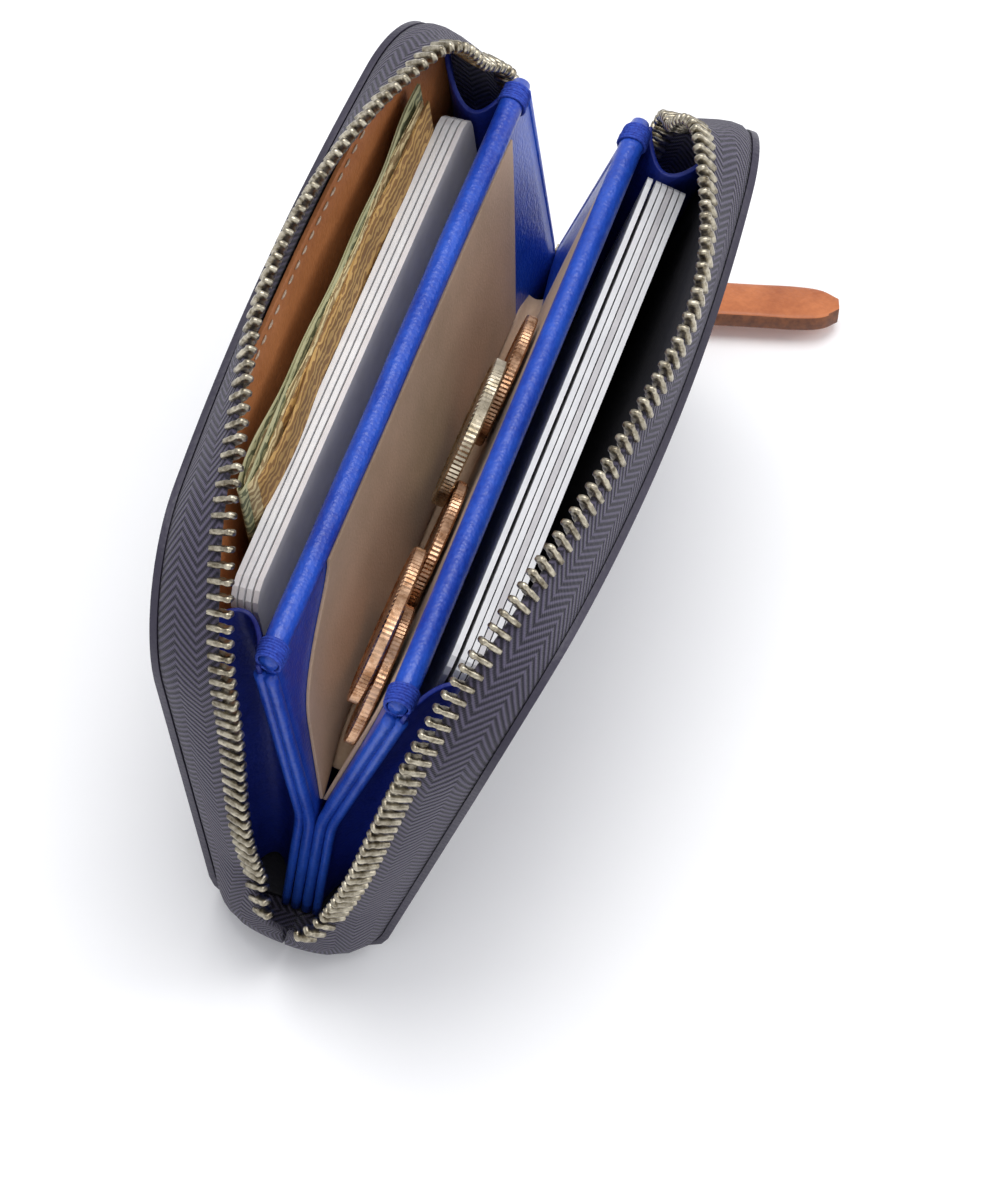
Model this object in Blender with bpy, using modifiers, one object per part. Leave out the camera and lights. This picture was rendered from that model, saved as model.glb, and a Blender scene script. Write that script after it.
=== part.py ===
"""Zip around wallet, standing open: the CAD solids, at rest. Metres, +Z up, origin at the base's centre."""

import math

import bmesh
import bpy
from mathutils import Vector

MM = 0.001
OBJECT_NAME = "zip_around_wallet"

# Sizes in millimetres. side is -1 on the left and +1 on the right, end is -1 at the front and +1 at the rear.
FRONT_END = 56.0
REAR_END = 55.0
COVER_HEIGHT = 73.0
FRONT_RADIUS = 18.5
REAR_RADIUS = 19.4
FOLD_X = 12.0
FOLD_Z = 0.9
COVER_LEAN = {-1: 10.0, 1: 11.0}
PANEL_FOOT_X = 2.4
PANEL_FOOT_Z = 22.0
PANEL_LEAN = {-1: 9.1, 1: 10.7}
SIDE_NAME = {-1: "left", 1: "right"}
END_NAME = {-1: "front", 1: "rear"}

TAPE_THICK = 0.8
TAPE_WIDTH = 8.8
TEETH_FROM = 9.05
TEETH_TO = 12.4
TOOTH_PITCH = 2.3
TOOTH_THICK = 1.6
TAPE_START = 8.0
TAPE_END = 12.0
TEETH_START = 11.5
TEETH_END = 23.0

# How far the zip's tape turns out of the cover's own surface: 0 points it straight at the other cover and
# 90 leaves it flat. One value per stretch of the edge, from the front fold round to the rear fold.
FLARE = {
    -1: (17.9, 23.8, 10.2, 15.4, 34.8, 60.8, 57.4, 28.1, -20.0, -5.5, 10.0, 20.0),
    1: (29.2, 37.0, 29.5, 27.0, 41.5, 55.1, 63.5, 32.6, -15.8, 5.0, 9.3, 12.9),
}

CARD_LENGTH = 85.6
CARD_HEIGHT = 54.0
CARD_THICK = 0.76
CARD_RADIUS = 3.2
CARD_Y = 2.0


def clear_scene():
    for old in list(bpy.data.objects):
        bpy.data.objects.remove(old, do_unlink=True)


def material(name, color, roughness, metallic=0.0):
    made = bpy.data.materials.new(name)
    made.use_nodes = True
    shader = made.node_tree.nodes["Principled BSDF"]
    shader.inputs["Base Color"].default_value = (*color, 1.0)
    shader.inputs["Roughness"].default_value = roughness
    shader.inputs["Metallic"].default_value = metallic
    return made


def empty(name, location, lean=0.0, turn=0.0, parent=None):
    """An empty on a joint's axis. lean turns it about Y and turn about Z, in degrees."""
    made = bpy.data.objects.new(name, None)
    made.empty_display_size = 0.01
    made.location = Vector(location) * MM
    made.rotation_euler = (0.0, math.radians(lean), math.radians(turn))
    made.parent = parent
    PARTS.objects.link(made)
    return made


def finish(name, form, surface, parent=None):
    bmesh.ops.recalc_face_normals(form, faces=form.faces)
    mesh = bpy.data.meshes.new(name)
    form.to_mesh(mesh)
    form.free()
    mesh.materials.append(surface)
    made = bpy.data.objects.new(name, mesh)
    made.parent = parent
    PARTS.objects.link(made)
    return made


def plate(name, outline, low, high, surface, parent=None, axis=0):
    """An outline extruded along an axis. The outline's two coordinates are the other two axes, in order."""
    form = bmesh.new()
    points = []
    for first, second in outline:
        point = [first, second]
        point.insert(axis, low)
        points.append(form.verts.new(Vector(point) * MM))
    face = form.faces.new(points)
    grown = bmesh.ops.extrude_face_region(form, geom=[face])
    shift = Vector((0, 0, 0))
    shift[axis] = (high - low) * MM
    moved = [item for item in grown["geom"] if isinstance(item, bmesh.types.BMVert)]
    bmesh.ops.translate(form, verts=moved, vec=shift)
    return finish(name, form, surface, parent)


def box(name, low, high, surface, parent=None, bevel=0.0):
    form = bmesh.new()
    bmesh.ops.create_cube(form, size=1.0)
    size = Vector(high) - Vector(low)
    bmesh.ops.scale(form, vec=size * MM, verts=form.verts)
    made = finish(name, form, surface, parent)
    made.location = (Vector(low) + Vector(high)) * MM / 2
    if bevel:
        edge = made.modifiers.new("edge", "BEVEL")
        edge.width = bevel * MM
        edge.segments = 1
    return made


def loft(name, rings, surface, parent=None):
    """A closed skin over rings of points, capped at both ends."""
    form = bmesh.new()
    rows = [[form.verts.new(Vector(point) * MM) for point in ring] for ring in rings]
    count = len(rows[0])
    for row, following in zip(rows, rows[1:]):
        for i in range(count):
            j = (i + 1) % count
            form.faces.new((row[i], row[j], following[j], following[i]))
    form.faces.new(rows[0])
    form.faces.new(rows[-1])
    return finish(name, form, surface, parent)


def tube(name, points, radius, surface, parent=None, cyclic=False, sides=1):
    curve = bpy.data.curves.new(name, "CURVE")
    curve.dimensions = "3D"
    curve.bevel_depth = radius * MM
    curve.bevel_resolution = sides
    curve.use_fill_caps = not cyclic
    line = curve.splines.new("POLY")
    line.points.add(len(points) - 1)
    for knot, point in zip(line.points, points):
        knot.co = (*(Vector(point) * MM), 1.0)
    line.use_cyclic_u = cyclic
    curve.materials.append(surface)
    made = bpy.data.objects.new(name, curve)
    made.parent = parent
    PARTS.objects.link(made)
    return made


def arc(center, radius, start, stop, count):
    points = []
    for i in range(count + 1):
        angle = math.radians(start + (stop - start) * i / count)
        points.append((center[0] + radius * math.cos(angle), center[1] + radius * math.sin(angle)))
    return points


def cover_outline(inset, bottom):
    near, far = inset - FRONT_END, REAR_END - inset
    top = COVER_HEIGHT - inset
    front = FRONT_RADIUS - inset
    rear = REAR_RADIUS - inset
    points = [(near, bottom)]
    points += arc((near + front, top - front), front, 180, 90, 8)
    points += arc((far - rear, top - rear), rear, 90, 0, 8)
    points.append((far, bottom))
    return points


def rounded_rectangle(length, height, radius, middle, bottom):
    low, high = middle - length / 2, middle + length / 2
    top = bottom + height
    points = arc((low + radius, bottom + radius), radius, 180, 270, 3)
    points += arc((high - radius, bottom + radius), radius, 270, 360, 3)
    points += arc((high - radius, top - radius), radius, 0, 90, 3)
    points += arc((low + radius, top - radius), radius, 90, 180, 3)
    return points


def edge_at(distance):
    """The cover's edge at a distance from its front fold: a point and the outward direction, both (y, z)."""
    rise = COVER_HEIGHT - FRONT_RADIUS
    if distance < rise:
        return Vector((-FRONT_END, distance)), Vector((-1, 0))
    distance -= rise
    turn = FRONT_RADIUS * math.pi / 2
    if distance < turn:
        angle = math.pi - distance / FRONT_RADIUS
        out = Vector((math.cos(angle), math.sin(angle)))
        return Vector((FRONT_RADIUS - FRONT_END, rise)) + FRONT_RADIUS * out, out
    distance -= turn
    run = FRONT_END + REAR_END - FRONT_RADIUS - REAR_RADIUS
    if distance < run:
        return Vector((FRONT_RADIUS - FRONT_END + distance, COVER_HEIGHT)), Vector((0, 1))
    distance -= run
    turn = REAR_RADIUS * math.pi / 2
    drop = COVER_HEIGHT - REAR_RADIUS
    if distance < turn:
        angle = math.pi / 2 - distance / REAR_RADIUS
        out = Vector((math.cos(angle), math.sin(angle)))
        return Vector((REAR_END - REAR_RADIUS, drop)) + REAR_RADIUS * out, out
    return Vector((REAR_END, drop - (distance - turn))), Vector((1, 0))


def edge_keys():
    """The distances along the edge where the flare is stated, and the whole length."""
    rise = COVER_HEIGHT - FRONT_RADIUS
    first = FRONT_RADIUS * math.pi / 2
    run = FRONT_END + REAR_END - FRONT_RADIUS - REAR_RADIUS
    second = REAR_RADIUS * math.pi / 2
    drop = COVER_HEIGHT - REAR_RADIUS
    start = rise + first
    far = start + run
    whole = far + second + drop
    middles = [0.0, rise / 2, rise, rise + first / 2, start, start + run / 3, start + run * 2 / 3, far]
    return middles + [far + second / 2, far + second, far + second + drop / 2, whole], whole


def flare_at(side, distance):
    keys, whole = edge_keys()
    values = FLARE[side]
    for i in range(len(keys) - 1):
        if distance <= keys[i + 1]:
            share = (distance - keys[i]) / (keys[i + 1] - keys[i])
            share = share * share * (3 - 2 * share)
            return math.radians(values[i] + (values[i + 1] - values[i]) * share)
    return math.radians(values[-1])


def tape_station(side, distance):
    """The tape at a distance along the cover's edge, in the cover's own frame: edge point, outward, reach, along."""
    point, out = edge_at(distance)
    flare = flare_at(side, distance)
    outward = Vector((0, out.x, out.y))
    inward = Vector((-side, 0, 0))
    reach = inward * math.cos(flare) + outward * math.sin(flare)
    along = Vector((0, out.y, -out.x))
    base = Vector((-0.9 * side, point.x, point.y))
    return base, outward, reach, along


def stations(first, last, step):
    count = max(2, round((last - first) / step))
    return [first + (last - first) * i / count for i in range(count + 1)]


def make_tape(side, parent):
    whole = edge_keys()[1]
    rings = []
    for distance in stations(TAPE_START, whole - TAPE_END, 5.5):
        base, outward, reach, along = tape_station(side, distance)
        flat = Vector((-side, 0, 0))
        bent = along.cross(reach).normalized()
        if bent.dot(flat) < 0 or abs(bent.dot(flat)) < 1e-6:
            bent = -bent
        root = base - outward * 3.0 - Vector((0.3 * side, 0, 0))
        bend = base - outward * 0.9 - Vector((0.3 * side, 0, 0))
        if bent.dot(outward) > 0:
            bent = -bent
        middle = (flat + bent).normalized()
        tip = base + reach * TAPE_WIDTH
        half = TAPE_THICK / 2
        rings.append([
            root - flat * half,
            bend - middle * half,
            tip - bent * half,
            tip + bent * half,
            bend + middle * half,
            root + flat * half,
        ])
    return loft(SIDE_NAME[side] + "_tape", rings, TAPE, parent)


def make_teeth(side, parent):
    whole = edge_keys()[1]
    rings = []
    for i, distance in enumerate(stations(TEETH_START, whole - TEETH_END, TOOTH_PITCH / 2)):
        base, outward, reach, along = tape_station(side, distance)
        across = along.cross(reach).normalized() * TOOTH_THICK / 2
        far = TEETH_TO if i % 2 else TEETH_TO - 1.3
        rings.append([
            base + reach * TEETH_FROM - across,
            base + reach * far - across,
            base + reach * far + across,
            base + reach * TEETH_FROM + across,
        ])
    return loft(SIDE_NAME[side] + "_teeth", rings, METAL, parent)


def make_top_stop(side, parent):
    base, outward, reach, along = tape_station(side, TEETH_START - 2.0)
    across = along.cross(reach).normalized() * 1.2
    rings = []
    for shift in (-1.1, 1.1):
        middle = base + along * shift
        rings.append([
            middle + reach * TEETH_FROM - across,
            middle + reach * 11.6 - across,
            middle + reach * 11.6 + across,
            middle + reach * TEETH_FROM + across,
        ])
    return loft(SIDE_NAME[side] + "_top_stop", rings, METAL, parent)


def make_cover(side):
    name = SIDE_NAME[side]
    fold = empty(name + "_cover_axis", (FOLD_X * side, 0, FOLD_Z), COVER_LEAN[side] * side)
    plate(name + "_cover_leather", cover_outline(0, -0.5), -0.7, 0.7, LEATHER, fold)
    low, high = sorted((-0.9 * side, -1.5 * side))
    plate(name + "_cover_board", cover_outline(3.4, 1.8), low, high, BOARD, fold)
    low, high = sorted((-1.75 * side, -2.4 * side))
    plate(name + "_cover_lining", cover_outline(1.9, 2.2), low, high, COVER_LINING[side], fold)
    make_tape(side, fold)
    make_teeth(side, fold)
    make_top_stop(side, fold)
    return fold


def make_foot(side, end, base_points, edge_points):
    """The tape's foot, fanned round the fold from the cover down to the middle of the spine's end."""
    rings = []
    half = TAPE_THICK / 2
    for i, (base, edge) in enumerate(zip(base_points, edge_points)):
        base, edge = Vector(base), Vector(edge)
        before = Vector(base_points[max(i - 1, 0)])
        after = Vector(base_points[min(i + 1, len(base_points) - 1)])
        across = (after - before).cross(edge - base).normalized() * half
        rings.append([base - across, edge - across, edge + across, base + across])
    return loft(f"{SIDE_NAME[side]}_{END_NAME[end]}_tape_foot", rings, TAPE)


def make_panel(side):
    name = SIDE_NAME[side] + "_panel"
    foot = empty(name + "_axis", (PANEL_FOOT_X * side, 0, PANEL_FOOT_Z), PANEL_LEAN[side] * side)
    wall = [(-50.0, 0.5), (50.0, 0.5), (50.0, 36.3), (-50.0, 36.3)]
    plate(name + "_wall", wall, -0.7, 0.7, BLUE, foot)
    tube(name + "_piping", [(0, -49.0, 38.2), (0, 48.8, 38.2)], 1.7, BLUE, foot, sides=2)
    low, high = sorted((-0.9 * side, -1.4 * side))
    lining = [(-49, 1.5), (49, 1.5), (48, 10), (43, 34.5), (-43, 34.5), (-48, 10)]
    plate(name + "_lining", lining, low, high, TAUPE, foot)
    for end in (-1, 1):
        low, high = sorted((50.2 * end, 51.6 * end))
        near, far = sorted((-1.3 * side, 0.75 * side))
        box(f"{name}_{END_NAME[end]}_bartack", (near, low, 28.8), (far, high, 38.4), BLUE, foot, 0.3)
    return foot


def make_gusset(side, end):
    """A soft gore from the pocket's end to the cover, folded inwards, so that the cover can close."""
    apex = {-1: -42.6, 1: 46.4}[end]
    half = 0.35
    rings = []
    lean = math.radians(COVER_LEAN[side])
    slope = math.radians(PANEL_LEAN[side])
    for z in (3.4, 12.0, 22.0, 34.0, 45.0, 56.5):
        near = 3.1 + 0.25 + half
        if z > PANEL_FOOT_Z:
            near = PANEL_FOOT_X + (z - PANEL_FOOT_Z) * math.tan(slope) + 0.7 / math.cos(slope) + 0.3 + half
        far = FOLD_X + (z - FOLD_Z) * math.tan(lean) - 2.4 / math.cos(lean) - 0.3 - half
        middle = []
        for i in range(9):
            share = i / 8
            start = -51.7 - 1.2 * share if end < 0 else 52.0 + 0.3 * share
            sag = math.sin(math.pi * share) ** 0.8
            middle.append(Vector((side * (near + (far - near) * share), start + (apex - start) * sag, z)))
        left, right = [], []
        for i, point in enumerate(middle):
            before = middle[max(i - 1, 0)]
            after = middle[min(i + 1, len(middle) - 1)]
            way = after - before
            normal = Vector((-way.y, way.x, 0)).normalized() * half
            left.append(point + normal)
            right.append(point - normal)
        rings.append(left + right[::-1])
    return loft(f"{SIDE_NAME[side]}_{END_NAME[end]}_gusset", rings, BLUE)


def make_spine():
    box("spine_leather", (-11.0, -FRONT_END, 0.0), (11.0, REAR_END, 1.4), LEATHER)
    box("spine_lining", (-9.0, -54.0, 1.6), (9.0, 53.0, 2.3), BLACK_LINING)
    for side in (-1, 1):
        low, high = sorted((1.7 * side, 3.1 * side))
        box(f"pocket_{SIDE_NAME[side]}_wall", (low, -53.0, 2.5), (high, 52.0, 21.5), BLUE)
    box("pocket_floor", (-1.5, -50.5, 2.5), (1.5, 50.0, 21.2), TAUPE)
    for side in (-1, 1):
        for end in (-1, 1):
            make_gusset(side, end)


def make_feet():
    def around(side, end, inner):
        rows = ((12.6, 6.0), (11.6, 2.4), (8.4, 0.9), (inner, 0.75))
        return [(side * x, -56.9 if end < 0 else 55.9, z) for x, z in rows]

    def edge(start, stop, bulge, count=4):
        points = []
        for i in range(count):
            share = i / (count - 1)
            point = Vector(start).lerp(Vector(stop), share)
            point.y += bulge * math.sin(math.pi * share)
            points.append(point)
        return points

    make_foot(1, -1, around(1, -1, 0.8), edge((6.3, -61.3, 8.6), (0.8, -60.9, 8.4), -0.8))
    make_foot(-1, -1, around(-1, -1, 0.8), edge((-5.2, -59.8, 8.8), (-0.8, -60.9, 8.4), -0.6))
    make_foot(1, 1, around(1, 1, 4.9), edge((5.9, 58.4, 9.2), (4.5, 58.4, 5.0), 0.0))
    make_foot(-1, 1, around(-1, 1, 4.9), edge((-6.0, 59.6, 8.8), (-4.5, 58.9, 5.4), 0.2))


def make_slider():
    box("bottom_stop", (-2.4, 55.5, 0.5), (2.4, 59.0, 3.5), METAL, bevel=0.3)
    box("zip_tail", (-1.3, 56.6, 3.8), (1.3, 57.8, 14.0), METAL)
    form = bmesh.new()
    hole = [(-1.6, 56.3), (1.6, 56.3), (1.6, 58.1), (-1.6, 58.1)]
    corners = [(-2.8, 55.5), (2.8, 55.5), (2.8, 58.5), (-2.8, 58.5)]
    ring_out = {z: [form.verts.new(Vector((x, y, z)) * MM) for x, y in corners] for z in (3.8, 11.0)}
    for z in (3.8, 11.0):
        ring_out[z][2].co.y = 59.0 * MM
        ring_out[z][3].co.y = 59.0 * MM
        ring_out[z][2].co.x = 2.4 * MM
        ring_out[z][3].co.x = -2.4 * MM
    ring_in = {z: [form.verts.new(Vector((x, y, z)) * MM) for x, y in hole] for z in (3.8, 11.0)}
    for i in range(4):
        j = (i + 1) % 4
        form.faces.new((ring_out[3.8][i], ring_out[3.8][j], ring_out[11.0][j], ring_out[11.0][i]))
        form.faces.new((ring_in[3.8][i], ring_in[3.8][j], ring_in[11.0][j], ring_in[11.0][i]))
        for z in (3.8, 11.0):
            form.faces.new((ring_out[z][i], ring_out[z][j], ring_in[z][j], ring_in[z][i]))
    finish("slider_body", form, METAL)
    bridge = [(59.2, 4.6), (61.6, 4.6), (61.6, 10.4), (59.2, 10.4), (59.2, 9.3), (60.7, 9.3), (60.7, 5.7), (59.2, 5.7)]
    plate("slider_bridge", bridge, -0.45, 0.45, METAL)


def make_puller():
    swivel = empty("pull_ring_axis", (0.0, 61.1, 7.5), turn=-9.0)
    tilt = empty("pull_ring_slope", (0, 0, 0), lean=24.8, parent=swivel)
    reach = 10.7
    loop = []
    for i in range(9):
        angle = math.radians(90 + 180 * i / 8)
        loop.append((1.2 * math.cos(angle), 1.2 * math.sin(angle), 0))
    for i in range(9):
        angle = math.radians(-90 + 180 * i / 8)
        loop.append((reach + 1.2 * math.cos(angle), 1.2 * math.sin(angle), 0))
    tube("pull_ring", loop, 0.5, METAL, tilt, cyclic=True)
    turn = math.radians(-9.0)
    flat = reach * math.cos(math.radians(24.8))
    hinge = (flat * math.cos(turn), 61.1 + flat * math.sin(turn), 3.0)
    axis = empty("pull_tab_axis", hinge, turn=18.2)
    twist = empty("pull_tab_twist", (0, 0, 0), parent=axis)
    twist.rotation_euler = (math.radians(-17.0), 0, 0)
    outline = [(2.1, -2.3), (4.5, -3.1), (9.0, -4.0), (27.0, -4.0), (30.5, -3.4), (33.0, -1.3)]
    outline += [(x, -y) for x, y in reversed(outline)]
    plate("pull_tab_face", outline, 0.12, 1.6, TAB, twist, axis=2)
    plate("pull_tab_back", outline, -1.6, -0.12, TAB, twist, axis=2)
    return hinge


def make_cards():
    shape = rounded_rectangle(CARD_LENGTH, CARD_HEIGHT, CARD_RADIUS, CARD_Y, 0)
    stack = empty("right_cards_axis", (3.6, 0, 4.5), 10.2)
    for i in range(6):
        low = 0.93 * i + (0.0 if i == 0 else 0.35)
        plate(f"right_card_{i + 1}", shape, low, low + CARD_THICK, CARD, stack)
    stack = empty("left_cards_axis", (-FOLD_X, 0, FOLD_Z), -COVER_LEAN[-1])
    shape = rounded_rectangle(CARD_LENGTH, CARD_HEIGHT, CARD_RADIUS, CARD_Y - 0.5, 2.4)
    for i in range(4):
        low = 4.4 + 1.03 * i
        plate(f"left_card_{i + 1}", shape, low, low + CARD_THICK, CARD, stack)
    for i in range(3):
        low = 2.7 + 0.52 * i
        note = rounded_rectangle(72.0 - 3 * i, 62.0 - 0.8 * i, 1.0, 4.0 + i, 3.0)
        plate(f"note_{i + 1}", note, low, low + 0.36, PAPER, stack)


# Each coin: its place along the pocket and up the panel, how far it stands off the panel's lining, its radius, its
# thickness and its metal.
def make_coins():
    rows = (
        (17.0, 14.6, 0.4, 9.9, 1.65, BRONZE),
        (-12.6, 14.0, 0.4, 10.2, 1.65, BRONZE),
        (-34.8, 15.4, 0.6, 10.2, 1.65, BRONZE),
        (-30.5, 21.0, 2.45, 11.4, 1.8, BRONZE),
        (3.0, 20.6, 2.25, 11.0, 1.9, SILVER),
    )
    slope = empty("coins_axis", (PANEL_FOOT_X, 0, PANEL_FOOT_Z), PANEL_LEAN[1])
    for i, (y, z, off, radius, thick, metal) in enumerate(rows):
        form = bmesh.new()
        bmesh.ops.create_cone(
            form, cap_ends=True, segments=28, radius1=radius * MM, radius2=radius * MM, depth=thick * MM
        )
        coin = finish(f"coin_{i + 1}", form, metal, slope)
        coin.location = Vector((-1.4 - off - thick / 2, y, z)) * MM
        coin.rotation_euler = (0, math.radians(90), 0)


clear_scene()
PARTS = bpy.data.collections.new(OBJECT_NAME)
bpy.context.scene.collection.children.link(PARTS)

LEATHER = material("outer_leather", (0.055, 0.045, 0.075), 0.5)
TAPE = material("zip_tape", (0.065, 0.055, 0.085), 0.9)
METAL = material("zip_metal", (0.62, 0.56, 0.42), 0.35, 1.0)
BLUE = material("blue_leather", (0.02, 0.05, 0.45), 0.4)
TAUPE = material("pocket_lining", (0.38, 0.25, 0.17), 0.7)
TAN_LINING = material("tan_lining", (0.28, 0.09, 0.03), 0.6)
BLACK_LINING = material("black_lining", (0.02, 0.02, 0.025), 0.8)
COVER_LINING = {-1: TAN_LINING, 1: BLACK_LINING}
BOARD = material("board", (0.3, 0.28, 0.25), 0.9)
TAB = material("tab_leather", (0.55, 0.2, 0.07), 0.5)
CARD = material("card", (0.85, 0.85, 0.86), 0.3)
PAPER = material("note_paper", (0.72, 0.65, 0.45), 0.8)
BRONZE = material("coin_bronze", (0.6, 0.32, 0.16), 0.3, 1.0)
SILVER = material("coin_silver", (0.6, 0.58, 0.54), 0.3, 1.0)

make_spine()
for cover_side in (-1, 1):
    make_cover(cover_side)
    make_panel(cover_side)
make_feet()
make_slider()
make_puller()
make_cards()
make_coins()
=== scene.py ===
"""Looks of the zip around wallet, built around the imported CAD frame.

Lengths are in millimetres until mesh().
"""

import math
import random

import bmesh
import bpy
from mathutils import Matrix, Vector


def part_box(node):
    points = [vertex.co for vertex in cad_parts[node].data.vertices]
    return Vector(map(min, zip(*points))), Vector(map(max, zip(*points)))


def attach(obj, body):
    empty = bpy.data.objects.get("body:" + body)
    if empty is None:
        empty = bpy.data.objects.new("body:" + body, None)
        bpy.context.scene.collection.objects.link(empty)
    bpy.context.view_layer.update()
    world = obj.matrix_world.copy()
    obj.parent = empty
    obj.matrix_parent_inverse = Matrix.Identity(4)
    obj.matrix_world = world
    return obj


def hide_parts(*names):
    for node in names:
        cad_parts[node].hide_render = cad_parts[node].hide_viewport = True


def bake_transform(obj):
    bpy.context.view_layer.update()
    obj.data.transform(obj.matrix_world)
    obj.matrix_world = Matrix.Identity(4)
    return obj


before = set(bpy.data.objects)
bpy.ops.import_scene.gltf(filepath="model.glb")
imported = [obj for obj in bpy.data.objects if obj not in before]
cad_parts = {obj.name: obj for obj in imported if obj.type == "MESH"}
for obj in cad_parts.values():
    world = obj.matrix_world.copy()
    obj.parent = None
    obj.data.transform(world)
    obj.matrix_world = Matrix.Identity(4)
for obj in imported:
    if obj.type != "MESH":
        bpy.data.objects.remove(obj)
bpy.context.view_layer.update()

MM = 0.001
FRONT_END = 56.0
REAR_END = 55.0
MIDDLE = (REAR_END - FRONT_END) / 2
HALF = (REAR_END + FRONT_END) / 2
TOP = 73.0
FRONT_RADIUS = 18.5
REAR_RADIUS = 19.4
FOLD_X = 12.0
FOLD_Z = 0.9
SPINE_Z = 0.75
FOLD_RADIUS = 5.0
LEAN = {-1: math.radians(10.0), 1: math.radians(11.0)}
BOW = {-1: 3.1, 1: 4.6}
PANEL_LEAN = {-1: math.radians(9.1), 1: math.radians(10.7)}
SIDE = {-1: "left", 1: "right"}
END = {-1: "front", 1: "rear"}
TOOTH_REACH = 10.3
TOOTH_PITCH = 2.1

# One tooth's rings: place along its reach, half its width along the row, half its height.
TOOTH_PROFILE = (
    (-1.75, 0.30, 0.72), (-1.6, 0.44, 0.92), (0.1, 0.46, 0.95), (0.45, 0.36, 0.85),
    (0.85, 0.36, 0.82), (1.15, 0.48, 0.86), (1.5, 0.46, 0.80), (1.8, 0.26, 0.50),
)
ROW_SKIP = {-1: 5.0, 1: 15.0}
STITCH_PITCH = 2.6
STITCH_LENGTH = 1.7
STITCH_RADIUS = 0.2
TAPE_DEPTH = 0.85
TAPE_STEP = 2.2
FAN = {-1: 26.0, 1: 20.0}

# How far the tape turns out of the cover's surface, in degrees, at the keys of edge_keys().
FLARE = {
    -1: (30.9, 17.9, 23.8, 10.2, 15.4, 34.8, 60.8, 57.4, 28.1, -16.0, -4.0, 10.0, 20.0, 25.0),
    1: (35.7, 29.2, 37.0, 29.5, 27.0, 41.5, 55.1, 63.5, 32.6, -14.0, 3.0, 9.0, 12.9, 14.6),
}


# ---------------------------------------------------------------- helpers

def mesh(name, points, faces, surface, uvs=None, smooth=True):
    """A mesh object from points in millimetres. uvs, if given, holds one (u, v) per point."""
    data = bpy.data.meshes.new(name)
    data.from_pydata([Vector(point) * MM for point in points], [], faces)
    if uvs:
        layer = data.uv_layers.new(name="cloth")
        for loop in data.loops:
            layer.data[loop.index].uv = uvs[loop.vertex_index]
    form = bmesh.new()
    form.from_mesh(data)
    bmesh.ops.recalc_face_normals(form, faces=form.faces)
    form.to_mesh(data)
    form.free()
    for polygon in data.polygons:
        polygon.use_smooth = smooth
    data.materials.append(surface)
    made = bpy.data.objects.new(name, data)
    bpy.context.scene.collection.objects.link(made)
    return made


def grid_faces(rows, columns, wrap=False):
    faces = []
    for i in range(rows - 1):
        for j in range(columns if wrap else columns - 1):
            k = (j + 1) % columns
            faces.append((i * columns + j, i * columns + k, (i + 1) * columns + k, (i + 1) * columns + j))
    return faces


def grid(name, rows, surface, uvs=None):
    points = [point for row in rows for point in row]
    flat = [uv for row in uvs for uv in row] if uvs else None
    return mesh(name, points, grid_faces(len(rows), len(rows[0])), surface, flat)


def loft(name, rings, surface, smooth=True):
    """A closed skin over rings, with flat caps."""
    points = [point for ring in rings for point in ring]
    count = len(rings[0])
    faces = grid_faces(len(rings), count, wrap=True)
    faces.append(tuple(range(count))[::-1])
    faces.append(tuple(range(len(points) - count, len(points))))
    return mesh(name, points, faces, surface, smooth=smooth)


def settle(made):
    """Applies the modifiers, so that the mesh is final."""
    graph = bpy.context.evaluated_depsgraph_get()
    final = bpy.data.meshes.new_from_object(made.evaluated_get(graph))
    made.modifiers.clear()
    made.data = final
    return made


def thicken(made, thickness, bevel=0.0):
    """Turns a sheet into a closed solid, with rounded edges."""
    skin = made.modifiers.new("thickness", "SOLIDIFY")
    skin.thickness = thickness * MM
    skin.offset = 0.0
    skin.use_even_offset = False
    if bevel:
        rounded(made, bevel, 3, 50)
    return settle(made)


def sweep(name, path, radius, surface, sides, up):
    """A round rod along a path. radius is a function of the share of the path."""
    rings = []
    last = len(path) - 1
    for i, point in enumerate(path):
        point = Vector(point)
        along = (Vector(path[min(i + 1, last)]) - Vector(path[max(i - 1, 0)])).normalized()
        side = along.cross(up).normalized()
        lift = side.cross(along)
        size = radius(i / last)
        ring = []
        for j in range(sides):
            angle = 2 * math.pi * j / sides
            ring.append(point + side * (size * math.cos(angle)) + lift * (size * math.sin(angle)))
        rings.append(ring)
    return loft(name, rings, surface)


def smoothstep(share):
    share = min(max(share, 0.0), 1.0)
    return share * share * (3 - 2 * share)


def spline(keys, values, at):
    """A smooth curve through values at keys."""
    last = len(keys) - 1
    i = 0
    while i < last - 1 and at > keys[i + 1]:
        i += 1
    width = keys[i + 1] - keys[i]
    share = min(max((at - keys[i]) / width, 0.0), 1.0)

    def slope(k):
        low, high = max(k - 1, 0), min(k + 1, last)
        return (values[high] - values[low]) / (keys[high] - keys[low])

    a, b = values[i], values[i + 1]
    first, second = slope(i) * width, slope(i + 1) * width
    cube, square = share ** 3, share ** 2
    return (
        (2 * cube - 3 * square + 1) * a
        + (cube - 2 * square + share) * first
        + (3 * square - 2 * cube) * b
        + (cube - square) * second
    )


# ---------------------------------------------------------------- materials

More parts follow.
